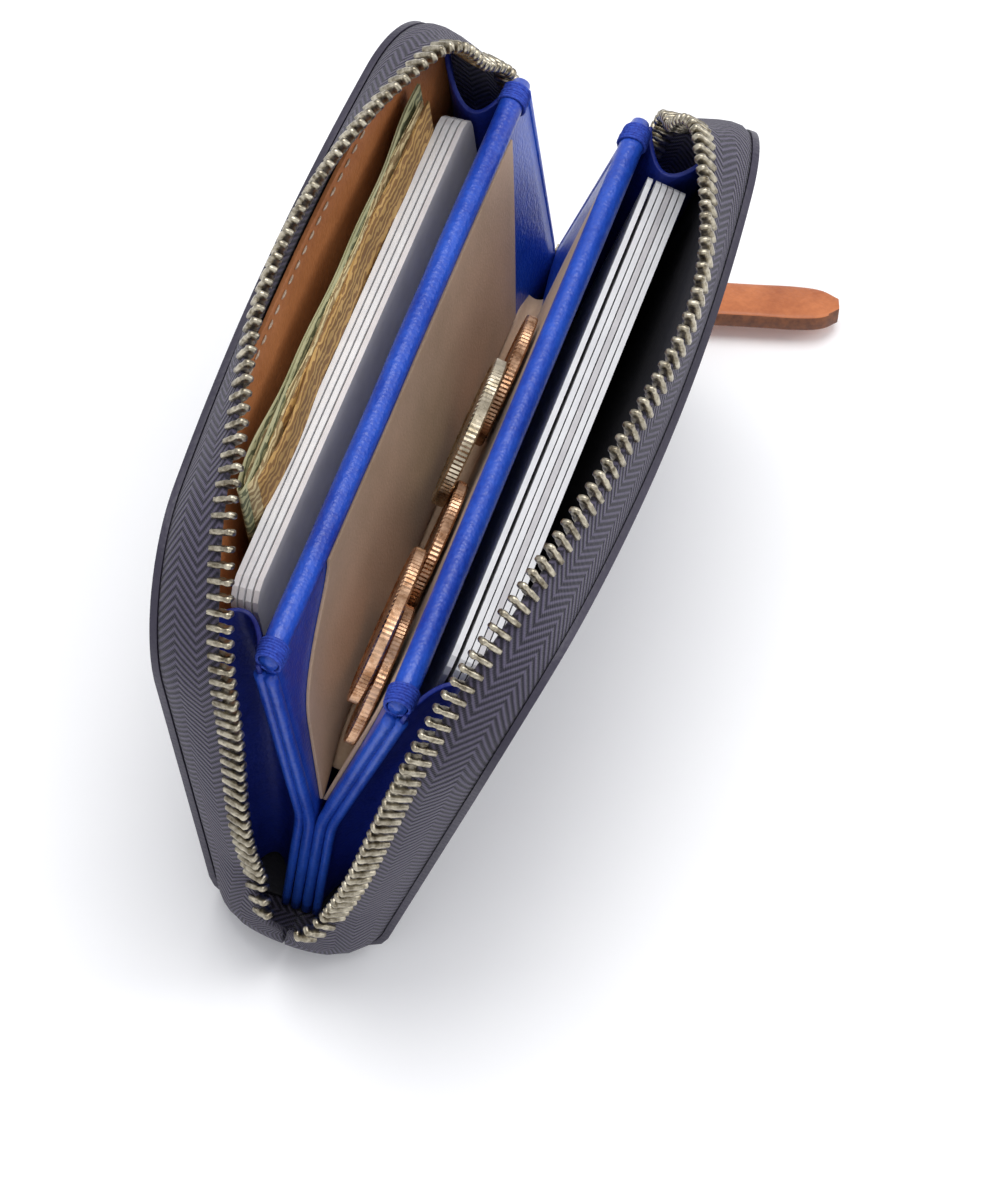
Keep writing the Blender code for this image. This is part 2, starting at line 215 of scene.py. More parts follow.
class Paint:
    """A Principled material with a few shortcuts for its nodes."""

    def __init__(self, name, roughness=0.5, metallic=0.0):
        self.material = bpy.data.materials.new(name)
        self.material.use_nodes = True
        self.tree = self.material.node_tree
        self.shader = self.tree.nodes["Principled BSDF"]
        self.shader.inputs["Roughness"].default_value = roughness
        self.shader.inputs["Metallic"].default_value = metallic
        self.place = self.node("ShaderNodeTexCoord").outputs["Object"]

    def node(self, kind, **settings):
        made = self.tree.nodes.new(kind)
        for key, value in settings.items():
            setattr(made, key, value)
        return made

    def link(self, source, target):
        self.tree.links.new(source, target)

    def noise(self, scale, detail=3.0, roughness=0.55):
        made = self.node("ShaderNodeTexNoise")
        made.inputs["Scale"].default_value = scale
        made.inputs["Detail"].default_value = detail
        made.inputs["Roughness"].default_value = roughness
        self.link(self.place, made.inputs["Vector"])
        return made.outputs["Fac"]

    def cells(self, scale, place):
        made = self.node("ShaderNodeTexVoronoi", feature="F1")
        made.inputs["Scale"].default_value = scale
        self.link(place, made.inputs["Vector"])
        return made.outputs["Distance"]

    def math(self, operation, *values):
        made = self.node("ShaderNodeMath", operation=operation)
        for socket, value in zip(made.inputs, values):
            if isinstance(value, (int, float)):
                socket.default_value = value
            else:
                self.link(value, socket)
        return made.outputs[0]

    def ramp(self, source, stops):
        made = self.node("ShaderNodeValToRGB")
        elements = made.color_ramp.elements
        while len(elements) < len(stops):
            elements.new(0.5)
        for element, (position, color) in zip(elements, stops):
            element.position = position
            element.color = (*color, 1.0)
        self.link(source, made.inputs["Fac"])
        return made.outputs["Color"]

    def mix(self, share, first, second):
        made = self.node("ShaderNodeMix", data_type="RGBA")
        for socket, value in ((made.inputs[0], share), (made.inputs[6], first), (made.inputs[7], second)):
            if isinstance(value, (int, float)):
                socket.default_value = value
            elif isinstance(value, tuple):
                socket.default_value = (*value, 1.0)
            else:
                self.link(value, socket)
        return made.outputs[2]

    def color(self, source):
        self.link(source, self.shader.inputs["Base Color"])

    def rough(self, source, low, high):
        made = self.node("ShaderNodeMapRange")
        made.inputs["To Min"].default_value = low
        made.inputs["To Max"].default_value = high
        self.link(source, made.inputs["Value"])
        self.link(made.outputs[0], self.shader.inputs["Roughness"])

    def bump(self, source, distance):
        made = self.node("ShaderNodeBump")
        made.inputs["Distance"].default_value = distance * MM
        made.inputs["Strength"].default_value = 1.0
        self.link(source, made.inputs["Height"])
        self.link(made.outputs[0], self.shader.inputs["Normal"])


def leather(name, dark, light, roughness, grain=1500.0, depth=0.12, patch=60.0, sheen=0.0):
    """Grained leather: small uneven cells with creases, slow colour patches and gloss that varies."""
    paint = Paint(name, roughness)
    warp = paint.noise(grain * 0.35, 2.0)
    shift = paint.node("ShaderNodeVectorMath", operation="MULTIPLY_ADD")
    paint.link(paint.place, shift.inputs[0])
    shift.inputs[1].default_value = (1.0, 1.0, 1.0)
    spread = paint.node("ShaderNodeCombineXYZ")
    small = paint.math("MULTIPLY", warp, 0.9 / grain)
    for socket in spread.inputs:
        paint.link(small, socket)
    paint.link(spread.outputs[0], shift.inputs[2])
    cells = paint.cells(grain, shift.outputs[0])
    fine = paint.noise(grain * 2.2, 3.0)
    height = paint.math("SUBTRACT", paint.math("MULTIPLY", fine, 0.5), cells)
    paint.bump(height, depth)
    slow = paint.noise(patch, 4.0, 0.6)
    speck = paint.noise(grain * 0.8, 2.0)
    blend = paint.math("ADD", paint.math("MULTIPLY", slow, 0.75), paint.math("MULTIPLY", speck, 0.25))
    paint.color(paint.ramp(blend, ((0.36, dark), (0.64, light))))
    paint.rough(speck, roughness - 0.07, roughness + 0.1)
    if sheen:
        paint.shader.inputs["Sheen Weight"].default_value = sheen
    return paint.material


def woven(name, dark, light):
    """Herringbone tape: diagonal ribs that turn back every few threads, on the cloth's own coordinates."""
    paint = Paint(name, 0.85)
    coords = paint.node("ShaderNodeUVMap", uv_map="cloth")
    split = paint.node("ShaderNodeSeparateXYZ")
    paint.link(coords.outputs[0], split.inputs[0])
    along, across = split.outputs[0], split.outputs[1]
    zigzag = paint.math("PINGPONG", across, 3.0)
    phase = paint.math("MULTIPLY", paint.math("ADD", along, zigzag), 2 * math.pi / 1.15)
    rib = paint.math("MULTIPLY_ADD", paint.math("SINE", phase), 0.5, 0.5)
    thread_phase = paint.math("MULTIPLY", paint.math("SUBTRACT", along, zigzag), 2 * math.pi / 0.42)
    thread = paint.math("MULTIPLY_ADD", paint.math("SINE", thread_phase), 0.5, 0.5)
    height = paint.math("MULTIPLY_ADD", thread, 0.3, rib)
    fuzz = paint.noise(2600.0, 3.0)
    height = paint.math("MULTIPLY_ADD", fuzz, 0.35, height)
    paint.bump(height, 0.16)
    shade = paint.math("MULTIPLY_ADD", fuzz, 0.35, paint.math("MULTIPLY", rib, 0.75))
    paint.color(paint.ramp(shade, ((0.35, dark), (1.0, light))))
    paint.shader.inputs["Sheen Weight"].default_value = 0.15
    return paint.material


def metal(name, dark, light, roughness, scale=900.0):
    paint = Paint(name, roughness, 1.0)
    wear = paint.noise(scale, 4.0, 0.65)
    paint.color(paint.ramp(wear, ((0.35, dark), (0.62, light))))
    paint.rough(wear, roughness - 0.08, roughness + 0.14)
    paint.bump(paint.noise(scale * 3, 3.0), 0.02)
    return paint.material


def plain(name, dark, light, roughness, scale=400.0, depth=0.02):
    paint = Paint(name, roughness)
    grain = paint.noise(scale, 4.0, 0.6)
    paint.color(paint.ramp(grain, ((0.35, dark), (0.65, light))))
    paint.rough(grain, roughness - 0.05, roughness + 0.07)
    paint.bump(grain, depth)
    return paint.material


def printed(name, base, ink, band):
    """Note paper with curls inside a plain border, on the sheet's own coordinates. No figures, no letters."""
    paint = Paint(name, 0.75)
    coords = paint.node("ShaderNodeUVMap", uv_map="cloth")
    curls = paint.node("ShaderNodeTexWave", wave_type="RINGS", wave_profile="SIN")
    curls.inputs["Scale"].default_value = 0.22
    curls.inputs["Distortion"].default_value = 9.0
    curls.inputs["Detail"].default_value = 2.0
    curls.inputs["Detail Scale"].default_value = 1.6
    paint.link(coords.outputs[0], curls.inputs["Vector"])
    lines = paint.ramp(curls.outputs["Fac"], ((0.40, (0, 0, 0)), (0.52, (1, 1, 1))))
    split = paint.node("ShaderNodeSeparateXYZ")
    paint.link(coords.outputs[0], split.inputs[0])
    edge = paint.math("PINGPONG", split.outputs[1], 33.0)
    inside = paint.math("MULTIPLY", paint.math("GREATER_THAN", edge, 1.6), 0.8)
    patches = paint.noise(110.0, 3.0)
    ground = paint.ramp(patches, ((0.35, base), (0.65, band)))
    share = paint.math("MULTIPLY", inside, lines)
    paint.color(paint.mix(share, ground, ink))
    paint.bump(paint.noise(1800.0, 2.0), 0.015)
    return paint.material


OUTER = leather("outer_leather", (0.022, 0.018, 0.037), (0.038, 0.032, 0.055), 0.46, 1300.0, 0.07)
TAPE = woven("zip_tape", (0.010, 0.008, 0.020), (0.095, 0.082, 0.135))
TEETH = metal("zip_metal", (0.15, 0.125, 0.085), (0.56, 0.51, 0.40), 0.30)
BLUE = leather("blue_leather", (0.008, 0.038, 0.35), (0.023, 0.100, 0.58), 0.32, 1700.0, 0.055)
# The panels' blue leather, darkened for the gussets: painted shade for the shadow inside their folds.
BLUE_SHADED_GUSSET = leather("blue_gusset_painted_shade", (0.004, 0.012, 0.17), (0.010, 0.030, 0.30), 0.5, 1700.0, 0.055)
BLUE_THREAD = plain("blue_thread", (0.010, 0.030, 0.30), (0.030, 0.085, 0.52), 0.7, 2500.0, 0.05)
TAUPE = leather("pocket_lining", (0.46, 0.315, 0.20), (0.60, 0.42, 0.29), 0.72, 2300.0, 0.03, 45.0, 0.1)
TAN = leather("tan_lining", (0.36, 0.12, 0.036), (0.55, 0.21, 0.075), 0.5, 1600.0, 0.05, 50.0)
BLACK = leather("black_lining", (0.010, 0.010, 0.014), (0.022, 0.021, 0.028), 0.7, 1500.0, 0.05)
PALE_THREAD = plain("pale_thread", (0.36, 0.26, 0.17), (0.62, 0.50, 0.38), 0.75, 2500.0, 0.05)
TAB = leather("tab_leather", (0.36, 0.095, 0.026), (0.54, 0.17, 0.055), 0.42, 1500.0, 0.04, 120.0)
TAB_EDGE = plain("tab_edge", (0.10, 0.030, 0.012), (0.20, 0.065, 0.022), 0.6, 900.0, 0.05)
CARD = plain("card", (0.80, 0.80, 0.815), (0.88, 0.88, 0.89), 0.3, 300.0, 0.006)
CARD_GREY = plain("card_grey", (0.60, 0.585, 0.60), (0.68, 0.66, 0.67), 0.35, 300.0, 0.006)
CARD_PINK = plain("card_pink", (0.72, 0.69, 0.69), (0.80, 0.77, 0.77), 0.35, 300.0, 0.006)
NOTE_OCHRE = printed("note_ochre", (0.46, 0.27, 0.08), (0.20, 0.09, 0.03), (0.62, 0.38, 0.13))
NOTE_GREEN = printed("note_green", (0.36, 0.36, 0.19), (0.05, 0.065, 0.03), (0.52, 0.49, 0.29))
NOTE_PALE = printed("note_pale", (0.58, 0.47, 0.25), (0.22, 0.13, 0.05), (0.68, 0.55, 0.30))
BRONZE = metal("coin_bronze", (0.34, 0.17, 0.085), (0.78, 0.50, 0.32), 0.25, 500.0)
SILVER = metal("coin_silver", (0.30, 0.25, 0.17), (0.68, 0.60, 0.46), 0.25, 500.0)
FLOOR = plain("floor", (0.96, 0.96, 0.965), (0.97, 0.97, 0.972), 0.6, 60.0, 0.0)


# ---------------------------------------------------------------- the cover's surface

def turn_of(side):
    return math.pi / 2 - LEAN[side]


def flat_run(side):
    return FOLD_X - FOLD_RADIUS * math.tan(turn_of(side) / 2)


def arc_run(side):
    return FOLD_RADIUS * turn_of(side)


def top_run(side):
    """The unrolled distance from the middle of the spine to the cover's top edge."""
    lift = FOLD_RADIUS * math.tan(turn_of(side) / 2) - 0.15
    return flat_run(side) + arc_run(side) + TOP - lift


def cover_point(side, run, y, offset=0.0):
    """A point of the leather's middle surface, run along from the spine's middle. offset is outwards."""
    flat, curve = flat_run(side), arc_run(side)
    if run <= flat:
        return Vector((side * run, y, SPINE_Z - offset))
    angle = min((run - flat) / FOLD_RADIUS, turn_of(side))
    normal = Vector((side * math.sin(angle), 0, -math.cos(angle)))
    point = Vector((side * flat, y, SPINE_Z + FOLD_RADIUS)) + normal * (FOLD_RADIUS + offset)
    beyond = run - flat - curve
    if beyond > 0:
        up = Vector((side * math.cos(angle), 0, math.sin(angle)))
        swell = smoothstep(beyond / 60.0) * beyond / 69.0 * BOW[side] * (1 - ((y - MIDDLE) / HALF) ** 2)
        point += up * beyond + normal * swell
    return point


def cover_frame(side, run, y):
    """The point, the outward normal and the way up, at a place on the cover."""
    point = cover_point(side, run, y)
    up = (cover_point(side, run + 0.05, y) - cover_point(side, run - 0.05, y)).normalized()
    length = (cover_point(side, run, y + 0.05) - cover_point(side, run, y - 0.05)).normalized()
    normal = length.cross(up) * side
    return point, normal.normalized(), up


def cover_ends(side, run, inset):
    """The lowest and highest y of the cover at a run, inset from its outline."""
    drop = top_run(side) - run
    ends = []
    for end, radius, limit in ((-1, FRONT_RADIUS, FRONT_END), (1, REAR_RADIUS, REAR_END)):
        reach = limit - inset
        depth = radius - drop
        if depth > 0:
            inner = radius - inset
            reach = limit - radius + math.sqrt(max(inner * inner - depth * depth, 0.0))
        ends.append(end * reach)
    return ends


def cover_sheet(name, side, start, inset, offset, surface, across=44, rows=46):
    """A sheet over the cover, from a run up to its top edge."""
    top = top_run(side) - inset
    lines = []
    for i in range(rows):
        share = math.sin(math.pi / 2 * i / (rows - 1)) ** 0.9
        run = start + (top - start) * share
        low, high = cover_ends(side, run, inset)
        line = []
        for j in range(across + 1):
            spread = 0.5 - 0.5 * math.cos(math.pi * j / across)
            y = low + (high - low) * (0.35 * spread + 0.65 * j / across)
            line.append(cover_point(side, run, y, offset))
        lines.append(line)
    return grid(name, lines, surface)


def edge_keys(side):
    """The distances along the cover's edge that FLARE is given at, and the edge's whole length."""
    top = top_run(side)
    front_arc = FRONT_RADIUS * math.pi / 2
    rear_arc = REAR_RADIUS * math.pi / 2
    fold = flat_run(side) + arc_run(side) * 0.7
    rise = top - FRONT_RADIUS
    start = rise + front_arc
    run = FRONT_END + REAR_END - FRONT_RADIUS - REAR_RADIUS
    far = start + run
    fall = far + rear_arc
    whole = fall + top - REAR_RADIUS
    keys = [0.0, fold, (fold + rise) / 2, rise, rise + front_arc / 2]
    keys += [start, start + run / 3, start + run * 2 / 3, far, far + rear_arc / 2]
    keys += [fall, (fall + whole - fold) / 2, whole - fold, whole]
    return keys, whole


def edge_place(side, distance):
    """The (run, y) of the cover's edge at a distance from the spine's front end, and the way out there."""
    top = top_run(side)
    rise = top - FRONT_RADIUS
    if distance < rise:
        return distance, -FRONT_END, 0.0, -1.0
    distance -= rise
    arc = FRONT_RADIUS * math.pi / 2
    if distance < arc:
        angle = distance / FRONT_RADIUS
        run = rise + FRONT_RADIUS * math.sin(angle)
        y = FRONT_RADIUS - FRONT_END - FRONT_RADIUS * math.cos(angle)
        return run, y, math.sin(angle), -math.cos(angle)
    distance -= arc
    length = FRONT_END + REAR_END - FRONT_RADIUS - REAR_RADIUS
    if distance < length:
        return top, FRONT_RADIUS - FRONT_END + distance, 1.0, 0.0
    distance -= length
    arc = REAR_RADIUS * math.pi / 2
    if distance < arc:
        angle = distance / REAR_RADIUS
        run = top - REAR_RADIUS + REAR_RADIUS * math.cos(angle)
        return run, REAR_END - REAR_RADIUS + REAR_RADIUS * math.sin(angle), math.cos(angle), math.sin(angle)
    return top - REAR_RADIUS - (distance - arc), REAR_END, 0.0, 1.0


def edge_station(side, distance):
    """The cover's edge: its point, the way out in the surface, the inward normal and the tape's reach."""
    run, y, climb, spread = edge_place(side, distance)
    point, normal, up = cover_frame(side, run, y)
    outward = (up * climb + Vector((0, spread, 0))).normalized()
    keys, _ = edge_keys(side)
    flare = math.radians(spline(keys, FLARE[side], distance))
    reach = -normal * math.cos(flare) + outward * math.sin(flare)
    return point, outward, normal, reach


# Where the middle of each row of teeth comes to, at the front and rear ends of the zip.
FAN_END = {
    (-1, -1): Vector((-0.5, -61.7, 8.9)),
    (1, -1): Vector((0.5, -61.9, 9.0)),
    (-1, 1): Vector((-0.5, 58.6, 8.0)),
    (1, 1): Vector((0.5, 58.1, 8.0)),
}


def tooth_line(side, distance):
    """The base of the tape and the middle of its teeth at a distance along the edge."""
    _, whole = edge_keys(side)
    point, outward, normal, reach = edge_station(side, distance)
    tip = point + reach * TOOTH_REACH
    for end, gone in ((-1, distance), (1, whole - distance)):
        if gone < FAN[end]:
            edge = FAN[end] if end < 0 else whole - FAN[end]
            far_point, _, _, far_reach = edge_station(side, edge)
            far_tip = far_point + far_reach * TOOTH_REACH
            share = gone / FAN[end]
            tip = FAN_END[(side, end)].lerp(far_tip, share)
            tip.y += end * 1.6 * math.sin(math.pi * share) * (1.0 if end < 0 else 0.3)
            tip.z -= 0.6 * math.sin(math.pi * share)
    return point, outward, normal, tip


def tape_rows(side):
    """The tape's rows of points across it, from its sewn edge to its teeth, and their flat coordinates."""
    _, whole = edge_keys(side)
    count = int(whole / TAPE_STEP)
    lines, marks = [], []
    for i in range(count + 1):
        distance = whole * i / count
        point, outward, normal, tip = tooth_line(side, distance)
        root = point - outward * 3.2 - normal * TAPE_DEPTH
        lip = point - outward * 0.4 - normal * TAPE_DEPTH
        reach = tip - lip
        width = reach.length
        reach.normalize()
        swell = 0.9 + 2.6 * smoothstep(1 - distance / FAN[-1]) + smoothstep(1 - (whole - distance) / FAN[1])
        line = [root, point - outward * 1.6 - normal * TAPE_DEPTH, lip]
        for share, out in ((0.08, 0.6), (0.2, 0.95), (0.38, 1.0), (0.56, 0.75), (0.76, 0.3)):
            line.append(lip + reach * (width * share) + outward * (swell * out) - normal * (0.2 * out))
        line.append(lip + reach * (width - 0.4))
        lines.append(line)
        widths = [0.0]
        for before, after in zip(line, line[1:]):
            widths.append(widths[-1] + (after - before).length)
        marks.append([(distance, value) for value in widths])
    return lines, marks


def tooth_spots(side):
    """Evenly spaced places along the line of teeth: middle, reach and along."""
    _, whole = edge_keys(side)
    samples = []
    for i in range(1201):
        distance = whole * i / 1200
        point, _, _, tip = tooth_line(side, distance)
        samples.append((tip, (tip - point).normalized()))
    spots, gone, target = [], 0.0, ROW_SKIP[-1]
    length = sum((b[0] - a[0]).length for a, b in zip(samples, samples[1:]))
    for (tip, reach), (following, _) in zip(samples, samples[1:]):
        step = (following - tip).length
        while gone <= target < gone + step and target < length - ROW_SKIP[1]:
            along = (following - tip).normalized()
            reach = (reach - along * reach.dot(along)).normalized()
            spots.append((tip.lerp(following, (target - gone) / step), reach, along))
            target += TOOTH_PITCH
        gone += step
    return spots


def tooth(spot):
    """Rings of one moulded tooth: a clamped foot on the tape, a neck, and a rounded head."""
    middle, reach, along = spot
    over = reach.cross(along)
    rings = []
    for place, half_width, half_height in TOOTH_PROFILE:
        ring = []
        for j in range(8):
            angle = math.pi * (j + 0.5) / 4
            x = math.copysign(abs(math.cos(angle)) ** 0.6, math.cos(angle))
            y = math.copysign(abs(math.sin(angle)) ** 0.6, math.sin(angle))
            ring.append(middle + reach * place + along * (x * half_width) + over * (y * half_height))
        rings.append(ring)
    return rings


def many_lofts(name, groups, surface):
    """One mesh of many closed skins, each over its own rings."""
    points, faces = [], []
    for rings in groups:
        start = len(points)
        count = len(rings[0])
        for ring in rings:
            points.extend(ring)
        faces += [tuple(start + i for i in face) for face in grid_faces(len(rings), count, wrap=True)]
        faces.append(tuple(range(start, start + count))[::-1])
        faces.append(tuple(range(len(points) - count, len(points))))
    return mesh(name, points, faces, surface)


def stitches(name, path, surface):
    """Separate threads laid end to end along a path of (point, normal) pairs."""
    groups = []
    gone, target = 0.0, STITCH_PITCH / 2
    for (a, normal), (b, _) in zip(path, path[1:]):
        step = (b - a).length
        while step > 0 and gone <= target < gone + step:
            middle = a.lerp(b, (target - gone) / step)
            along = (b - a).normalized()
            side = along.cross(normal).normalized()
            rings = []
            for share in (-1.0, -0.85, -0.4, 0.4, 0.85, 1.0):
                size = STITCH_RADIUS * math.sqrt(max(1 - share * share, 0.04))
                lift = STITCH_RADIUS * 0.4 * (1 - share * share)
                centre = middle + along * (share * STITCH_LENGTH / 2) + normal * lift
                ring = []
                for j in range(6):
                    angle = 2 * math.pi * j / 6
                    ring.append(centre + side * (size * math.cos(angle)) + normal * (size * math.sin(angle)))
                rings.append(ring)
            groups.append(rings)
            target += STITCH_PITCH
        gone += step
    return many_lofts(name, groups, surface)


# ---------------------------------------------------------------- camera, light and floor

CAMERA_ANGLES = (11.86, 59.31, 8.51)
CAMERA_DISTANCE = 679.27
CAMERA_SHIFT = (10.13, 0.43)
CAMERA_LENS = 139.4


def place_camera():
    azimuth, elevation, roll = (math.radians(value) for value in CAMERA_ANGLES)
    back = Vector((
        math.sin(azimuth) * math.cos(elevation),
        -math.cos(azimuth) * math.cos(elevation),
        math.sin(elevation),
    ))
    right = Vector((math.cos(azimuth), math.sin(azimuth), 0))
    up = back.cross(right)
    turned_right = right * math.cos(roll) + up * math.sin(roll)
    turned_up = up * math.cos(roll) - right * math.sin(roll)
    data = bpy.data.cameras.new("camera")
    data.lens = CAMERA_LENS
    data.sensor_width = 36.0
    data.clip_start = 0.01
    data.clip_end = 20.0
    camera = bpy.data.objects.new("camera", data)
    place = back * CAMERA_DISTANCE + turned_right * CAMERA_SHIFT[0] + turned_up * CAMERA_SHIFT[1]
    axes = Matrix((turned_right, turned_up, back)).transposed().to_4x4()
    camera.matrix_world = Matrix.Translation(place * MM) @ axes
    bpy.context.scene.collection.objects.link(camera)
    bpy.context.scene.camera = camera


def area_light(name, place, size, power, aim=(0.0, 0.0, 0.03), color=(1.0, 1.0, 1.0)):
    data = bpy.data.lights.new(name, "AREA")
    data.shape = "RECTANGLE"
    data.size, data.size_y = size
    data.energy = power
    data.color = color
    light = bpy.data.objects.new(name, data)
    light.location = place
    light.rotation_euler = (Vector(aim) - Vector(place)).to_track_quat("-Z", "Y").to_euler()
    bpy.context.scene.collection.objects.link(light)


def build_studio():
    area_light("key", (-0.10, 0.20, 1.0), (0.6, 0.6), 5.6)
    area_light("fill", (0.15, -0.9, 0.7), (0.8, 0.5), 1.0)
    area_light("rim", (0.75, 0.35, 0.55), (0.3, 0.8), 2.2)
    world = bpy.data.worlds.new("studio")
    world.use_nodes = True
    world.node_tree.nodes["Background"].inputs["Color"].default_value = (0.95, 0.96, 1.0, 1.0)
    world.node_tree.nodes["Background"].inputs["Strength"].default_value = 0.74
    bpy.context.scene.world = world
    bpy.context.scene.view_settings.view_transform = "Standard"
    reach = 3000
    corners = [(-reach, -reach, 0), (reach, -reach, 0), (reach, reach, 0), (-reach, reach, 0)]
    floor = mesh("floor", corners, [(0, 1, 2, 3)], FLOOR)
    floor.location.z = -0.00002


# ---------------------------------------------------------------- leather covers, lining, zip

def fold_blend(piece):
    """Bakes the piece's placement into its mesh."""
    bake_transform(piece)


def build_cover(side):
    """The leather cover, its lining and the row of stitches round the lining."""
    name = SIDE[side]
    outer = cover_sheet(f"{name}_wrap", side, 0.0, 0.0, 0.0, OUTER, across=60, rows=64)
    thicken(outer, 1.0, 0.3)
    fold_blend(outer)
    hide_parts(f"{name}_cover_leather", "spine_leather")

    surface = TAN if side < 0 else BLACK
    lining = cover_sheet(f"{name}_inside", side, flat_run(side) + 1.5, 2.2, -1.9, surface)
    thicken(lining, 0.6, 0.2)
    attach(lining, f"{name}_cover")
    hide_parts(f"{name}_cover_lining", f"{name}_cover_board")

    _, whole = edge_keys(side)
    path = []
    for i in range(241):
        distance = 22 + (whole - 44) * i / 240
        run, y, climb, spread = edge_place(side, distance)
        _, normal, up = cover_frame(side, run, y)
        out = (up * climb + Vector((0, spread, 0))).normalized()
        at = cover_point(side, run, y, -2.35) - out * 3.2
        path.append((at, -normal))
    thread = stitches(f"{name}_inside_stitches", path, PALE_THREAD if side < 0 else BLUE_THREAD)
    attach(thread, f"{name}_cover")


def build_tape(side):
    """One half of the zip: the woven tape and its row of teeth."""
    name = SIDE[side]
    lines, marks = tape_rows(side)
    tape = grid(f"{name}_zip_tape", lines, TAPE, marks)
    thicken(tape, 0.65)
    fold_blend(tape)
    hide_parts(f"{name}_tape", f"{name}_front_tape_foot", f"{name}_rear_tape_foot")
    _, whole = edge_keys(side)

    row = many_lofts(f"{name}_tooth_row", [tooth(spot) for spot in tooth_spots(side)], TEETH)
    fold_blend(row)
    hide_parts(f"{name}_teeth", f"{name}_top_stop")


def build_spine():
    rows = [[(x, y, 2.35) for x in (-9.4, -5, 0, 5, 9.4)] for y in range(-54, 55, 6)]
    lining = grid("spine_inside", rows, BLACK)
    thicken(lining, 0.6, 0.2)
    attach(lining, "spine")
    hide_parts("spine_lining")


# ---------------------------------------------------------------- coin pocket and gussets

WALL_X = 2.4
HINGE_Z = 22.0
PANEL_RUN = 38.2
PANEL_HALF = 50.6
FOOT_Z = 2.6
BEND = 5.0
ROLL_HEIGHT = HINGE_Z + PANEL_RUN
ROLL_RADIUS = 1.75
PANEL_SKIN = 0.72
PANEL_LEVELS = (FOOT_Z, 10, 17, 20, 22, 24, 27, 32, 38, 46, 53, 56.8)
LINING_LOW = 23.6
LINING_RISE = 33.8
BINDING_TOP = 57.5


def panel_point(side, height, y, offset=0.0):
    """A point of a pocket panel: height along it from the table, offset outwards from its middle surface."""
    lean = PANEL_LEAN[side]
    below = min(max(1 - height / HINGE_Z, 0.0), 1.0)
    above = min(max((height - HINGE_Z) / PANEL_RUN, 0.0), 1.0)
    pinch = 1.62 * (1 - smoothstep((PANEL_HALF - abs(y)) / 16.0)) * (1 - above)
    y *= 1 + below * (0.085 if y < 0 else 0.035)
    start = HINGE_Z - BEND / 2
    angle = lean * min(max((height - start) / BEND, 0.0), 1.0)
    if height <= start:
        point = Vector((side * WALL_X, y, height))
    else:
        curve = min(height - start, BEND)
        radius = BEND / lean
        turned = curve / radius
        out = WALL_X + radius * (1 - math.cos(turned))
        point = Vector((side * out, y, start + radius * math.sin(turned)))
        rest = height - start - curve
        point += Vector((side * math.sin(lean), 0, math.cos(lean))) * max(rest, 0.0)
    normal = Vector((side * math.cos(angle), 0, -math.sin(angle)))
    point.x -= side * pinch
    return point + normal * offset


def hinge_blend(piece):
    """Bakes the piece's placement into its mesh."""
    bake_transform(piece)


def panel_wave(y):
    """A slow unevenness of the rolled edge."""
    return 0.12 * math.sin(y * 0.11) + 0.08 * math.sin(y * 0.27 + 1.0)


def build_panel(side):
    """A wall of the middle pocket with its rolled edge, its lining and the piping at both ends."""
    name = SIDE[side]
    rings = []
    count = 44
    for i in range(count + 1):
        y = PANEL_HALF * (2 * i / count - 1)
        ends = PANEL_HALF - abs(y)
        pinch = 0.72 + 0.28 * smoothstep(ends / 3.0)
        size = ROLL_RADIUS * pinch
        ring = [panel_point(side, height, y, PANEL_SKIN) for height in PANEL_LEVELS]
        for j in range(13):
            angle = math.radians(-66 + 312 * j / 12)
            offset, rise = size * math.cos(angle), size * math.sin(angle)
            ring.append(panel_point(side, ROLL_HEIGHT + rise + panel_wave(y) - (1 - pinch) * 1.6, y, offset))
        ring += [panel_point(side, height, y, -PANEL_SKIN) for height in reversed(PANEL_LEVELS)]
        rings.append(ring)
    body = loft(f"{name}_pocket_leather", rings, BLUE)
    hinge_blend(body)
    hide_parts(f"{name}_panel_wall", f"{name}_panel_piping", f"pocket_{name}_wall")

    rows = []
    for i in range(24):
        share = i / 23
        height = LINING_LOW + LINING_RISE * share
        near = -48.4 + 4.5 * share + 12.5 * smoothstep((share - 0.45) / 0.55) ** 1.6
        far = 36.5 + 6.0 * share
        rows.append([panel_point(side, height, near + (far - near) * j / 36, -1.0) for j in range(37)])
    lining = grid(f"{name}_pocket_inside", rows, TAUPE)
    thicken(lining, 0.5, 0.15)
    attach(lining, f"{name}_panel")
    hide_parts(f"{name}_panel_lining")

    for end in (-1, 1):
        for label, offset, size in (("binding", 0.0, 0.74), ("rib", 1.5, 0.62)):
            heights = [FOOT_Z + (BINDING_TOP - FOOT_Z) * i / 30 for i in range(31)]
            edge = [panel_point(side, height, end * 50.8, offset) for height in heights]
            piping = sweep(
                f"{name}_{END[end]}_{label}", edge, lambda share, size=size: size + 0.25 * share, BLUE, 10,
                up=Vector((0, 1, 0)),
            )
            hinge_blend(piping)
        build_bartack(side, end)


KNOT_START = {-1: 47.9, 1: 46.3}


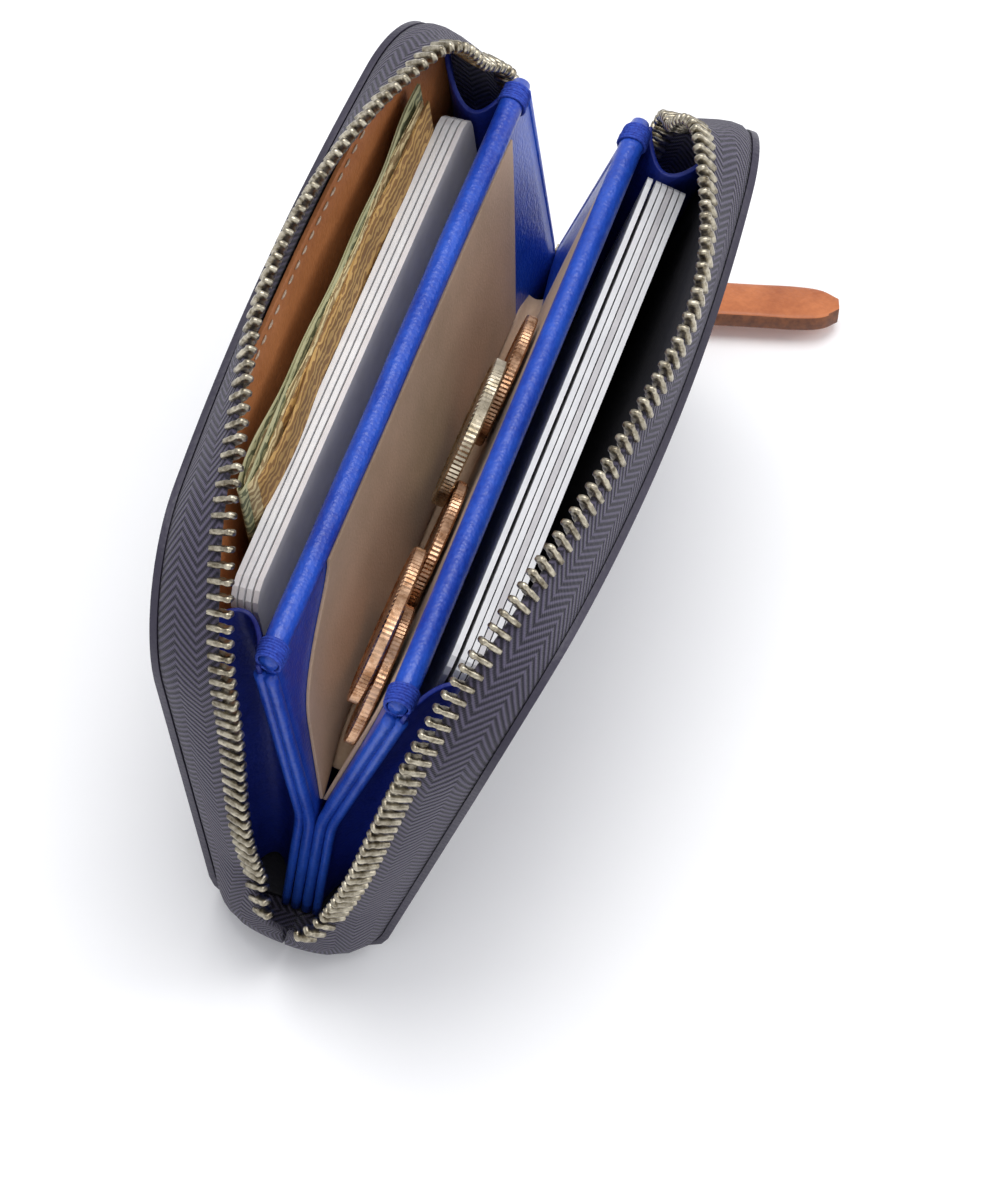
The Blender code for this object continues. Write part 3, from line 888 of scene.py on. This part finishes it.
def build_bartack(side, end):
    """Threads wrapped round the rolled edge where the pocket's top meets its end."""
    name = f"{SIDE[side]}_{END[end]}_knot"
    points, faces = [], []
    random.seed(7 + side + 3 * end)
    for k in range(7):
        y = end * (KNOT_START[end] + 0.42 * k)
        size = 1.95 - 0.03 * k + random.uniform(-0.05, 0.05)
        for j in range(18):
            angle = 2 * math.pi * j / 18
            rise = size * math.sin(angle) * (1.15 if angle > math.pi else 1.0)
            y_here = y + 0.1 * math.cos(angle)
            point = panel_point(side, ROLL_HEIGHT + rise - 0.1, y_here, size * math.cos(angle))
            out = (point - panel_point(side, ROLL_HEIGHT, y)).normalized()
            for m in range(5):
                angle = 2 * math.pi * m / 5
                points.append(point + out * (0.26 * math.cos(angle)) + Vector((0, 0.26 * math.sin(angle), 0)))
        start = 90 * k
        for i in range(18):
            following = (i + 1) % 18
            for j in range(5):
                near, far = start + i * 5, start + following * 5
                m = (j + 1) % 5
                faces.append((near + j, near + m, far + m, far + j))
    knot = mesh(name, points, faces, BLUE_THREAD)
    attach(knot, f"{SIDE[side]}_panel")
    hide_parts(f"{SIDE[side]}_panel_{END[end]}_bartack")


def build_pocket_floor():
    """The lining at the bottom of the middle pocket."""
    rows = []
    for i in range(33):
        y = -42.0 + 84.0 * i / 32
        row = []
        for j in range(9):
            x = -1 + 2 * j / 8
            row.append((1.66 * x, y, 21.4 + 1.2 * x * x))
        rows.append(row)
    floor = grid("pocket_base", rows, TAUPE)
    thicken(floor, 0.3)
    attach(floor, "spine")
    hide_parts("pocket_floor")


# How deep the gusset folds in, where it starts, how far it slants and how much it spreads below the hinge.
APEX = {-1: -42.4, 1: 45.9}
GUSSET_START = {-1: -51.0, 1: 51.0}
GUSSET_SLANT = {-1: -2.2, 1: 1.4}
GUSSET_SPREAD = {-1: 0.05, 1: 0.015}
GUSSET_FOOT = 3.2
FOLD_TOP = 4.3


def build_gusset(side, end):
    """The leather that folds inwards between a cover and a pocket wall at one end."""
    name = f"{SIDE[side]}_{END[end]}_gusset"
    rows = []
    levels = 26
    for i in range(levels):
        share = i / (levels - 1)
        row = []
        for j in range(23):
            u = j / 22
            top = 58.6 - 2.6 * math.sin(math.pi * min(u * 1.1, 1.0)) + 12.0 * max(u - 0.9, 0.0)
            z = GUSSET_FOOT + (top - GUSSET_FOOT) * share
            height = z if z < 24 else HINGE_Z + (z - HINGE_Z) / math.cos(PANEL_LEAN[side])
            near = panel_point(side, height, PANEL_HALF * end, 1.5).x
            run = flat_run(side) + arc_run(side) + max(z - FOLD_TOP, 0.0) / math.cos(LEAN[side])
            if z > FOLD_TOP:
                far = cover_point(side, run, 50.0, -2.75).x
            else:
                far = cover_point(side, flat_run(side) + 4, 50, -2.2).x
            fold = math.sin(math.pi * u) ** 0.75
            start = GUSSET_START[end] + GUSSET_SLANT[end] * u
            start *= 1 + max(1 - z / HINGE_Z, 0.0) * GUSSET_SPREAD[end]
            depth = (APEX[end] - start) * (0.55 + 0.45 * smoothstep(share * 1.4))
            wrinkle = 0.35 * math.sin(z * 0.21 + side) * math.sin(2 * math.pi * u)
            row.append((near + (far - near) * u, start + depth * fold + wrinkle, z))
        rows.append(row)
    # The gussets take the darkened blue, which paints in the shade inside the folds.
    gore = grid(name + "_leather", rows, BLUE_SHADED_GUSSET)
    thicken(gore, 0.7, 0.2)
    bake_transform(gore)
    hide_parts(name)


# ---------------------------------------------------------------- contents

def painted(node, surface):
    """Gives a CAD node that keeps its shape a better material."""
    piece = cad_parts[node]
    piece.data.materials.clear()
    piece.data.materials.append(surface)
    return piece


def rounded(piece, width, segments, limit):
    """Rounds a piece's sharp edges finely."""
    edge = piece.modifiers.new("edge", "BEVEL")
    edge.width = width * MM
    edge.segments = segments
    edge.limit_method = "ANGLE"
    edge.angle_limit = math.radians(limit)


def build_cards():
    for i in range(6):
        rounded(painted(f"right_card_{i + 1}", CARD_GREY if i == 3 else CARD), 0.12, 2, 40)
    for i, surface in enumerate((CARD, CARD, CARD, CARD_PINK)):
        rounded(painted(f"left_card_{i + 1}", surface), 0.12, 2, 40)


def note_frame(inner, z, y):
    """A point inside the left cover's frame: inner off the leather's middle, z up along it."""
    lean = LEAN[-1]
    up = Vector((-math.sin(lean), 0, math.cos(lean)))
    inward = Vector((math.cos(lean), 0, math.sin(lean)))
    return Vector((-FOLD_X, y, FOLD_Z)) + up * z + inward * inner


def build_note(index, surface, inner, gap, near, far, top, phase):
    """A folded note: two leaves that meet in a loose loop at the front."""
    rows, marks = [], []
    levels = 22
    loop = 0.9 + gap
    foot = 3.1
    plan = []
    for i in range(36):
        share = i / 35
        y = far + (near + 3.0 - far) * share
        swell = loop * math.exp(-((y - near - 6.0) / 9.0) ** 2)
        plan.append((-gap / 2 - swell * 0.5, y))
    half = -plan[-1][0]
    for i in range(1, 8):
        angle = math.pi * i / 8
        plan.append((-half * math.cos(angle), near + 3.0 - 3.0 * math.sin(angle)))
    plan += [(-x, y) for x, y in plan[:36][::-1]]
    for i in range(levels):
        share = i / (levels - 1)
        z = foot + (top - foot) * share
        row, mark, gone = [], [], 0.0
        for j, (x, y) in enumerate(plan):
            if j:
                gone += math.hypot(x - plan[j - 1][0], y - plan[j - 1][1])
            curl = share ** 2 * (0.22 * math.sin(y * 0.13 + phase) + 0.15 * math.sin(y * 0.31 + phase * 2))
            edge = 0.25 * math.sin(y * 0.21 + phase) * (share > 0.97)
            row.append(note_frame(inner + x * (0.35 + 0.65 * share) + curl, z + edge, y))
            mark.append((gone, z))
        rows.append(row)
        marks.append(mark)
    note = grid(f"note_{index}_leaf", rows, surface, marks)
    thicken(note, 0.11)
    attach(note, "notes")
    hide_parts(f"note_{index}")


def build_notes():
    build_note(1, NOTE_GREEN, 2.98, 0.28, -31.0, 40.5, 65.0, 0.0)
    build_note(2, NOTE_PALE, 3.62, 0.26, -29.5, 38.5, 64.2, 1.7)
    build_note(3, NOTE_OCHRE, 4.16, 0.22, -27.5, 39.5, 63.4, 3.1)


def build_coin(index, surface):
    """A coin with a reeded edge, a raised rim and one plain raised ring, laid where its CAD disc is."""
    low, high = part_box(f"coin_{index}")
    middle = (Vector(low) + Vector(high)) / 2 / MM
    size = Vector(high) - Vector(low)
    radius = size.y / MM / 2 * 1.003
    thick = {4: 1.8, 5: 1.9}.get(index, 1.65)
    axis = Matrix.Rotation(PANEL_LEAN[1], 3, "Y") @ Vector((1, 0, 0))
    first = Vector((0, 0, 1)).cross(axis).normalized()
    second = axis.cross(first)
    teeth = 96
    rings = []
    half = thick / 2
    field = half - 0.22
    profile = [(0.0, field), (radius * 0.72, field), (radius * 0.75, half - 0.10), (radius * 0.80, field)]
    profile += [(radius - 1.1, half - 0.2), (radius - 0.9, half)]
    profile += [(radius - 0.25, half), (radius, half - 0.25)]
    profile += [(spread, -height) for spread, height in reversed(profile)]
    for spread, height in profile:
        ring = []
        for j in range(teeth * 2):
            angle = math.pi * j / teeth
            reach = spread
            if spread >= radius - 0.01 and j % 2:
                reach -= 0.13
            reach = max(reach, 0.02)
            across = first * (reach * math.cos(angle)) + second * (reach * math.sin(angle))
            ring.append(middle + axis * height + across)
        rings.append(ring)
    coin = loft(f"coin_{index}_struck", rings, surface, smooth=False)
    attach(coin, "coins")
    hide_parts(f"coin_{index}")


# ---------------------------------------------------------------- slider and puller

def build_slider():
    painted("pull_ring", TEETH)
    for node in ("slider_body", "slider_bridge", "zip_tail", "bottom_stop"):
        rounded(painted(node, TEETH), 0.25, 3, 35)


def build_tab():
    """A thick leather strip with darker side faces and a creased border, in the tab's own frame."""
    turn = math.radians(-9.0)
    reach = 10.7 * math.cos(math.radians(24.8))
    hinge = Vector((reach * math.cos(turn), 61.1 + reach * math.sin(turn), 3.0))
    place = (
        Matrix.Translation(hinge)
        @ Matrix.Rotation(math.radians(18.2), 4, "Z")
        @ Matrix.Rotation(math.radians(-17.0), 4, "X")
    )

    def half_width(x):
        width = spline((0, 4.0, 9.0, 20.0, 27.0, 30.5, 33.0), (2.2, 3.0, 3.9, 4.0, 4.0, 3.3, 1.2), x)
        return max(width, 0.6)

    rings = []
    columns = 40
    for i in range(columns + 1):
        x = 0.9 + 32.0 * (0.5 - 0.5 * math.cos(math.pi * i / columns))
        width = half_width(x) - (1.2 if i in (0, columns) else 0.0)
        thick = 1.55 if 0 < i < columns else 1.1
        ring = []
        for j in range(24):
            angle = 2 * math.pi * j / 24
            c, s = math.cos(angle), math.sin(angle)
            y = width * math.copysign(abs(c) ** 0.35, c)
            z = thick * math.copysign(abs(s) ** 0.45, s)
            groove = 0.12 * math.exp(-((abs(y) - width + 1.1) / 0.25) ** 2)
            groove *= math.copysign(1, s) * (abs(s) > 0.5)
            ring.append(place @ Vector((x, y, z - groove)))
        rings.append(ring)
    tab = loft("pull_tab_leather", rings, TAB)
    tab.data.materials.append(TAB_EDGE)
    # Faces that do not face up or down take the darker tab_edge material.
    down = place.to_3x3() @ Vector((0, 0, 1))
    for polygon in tab.data.polygons:
        if abs(polygon.normal.dot(down)) < 0.6:
            polygon.material_index = 1
    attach(tab, "pull_tab")
    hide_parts("pull_tab_face", "pull_tab_back")


place_camera()
build_studio()
build_spine()
for which in (-1, 1):
    build_cover(which)
    build_tape(which)
    build_panel(which)
    for tip in (-1, 1):
        build_gusset(which, tip)
build_pocket_floor()
build_cards()
build_notes()
for number in range(1, 6):
    build_coin(number, SILVER if number == 5 else BRONZE)
build_slider()
build_tab()
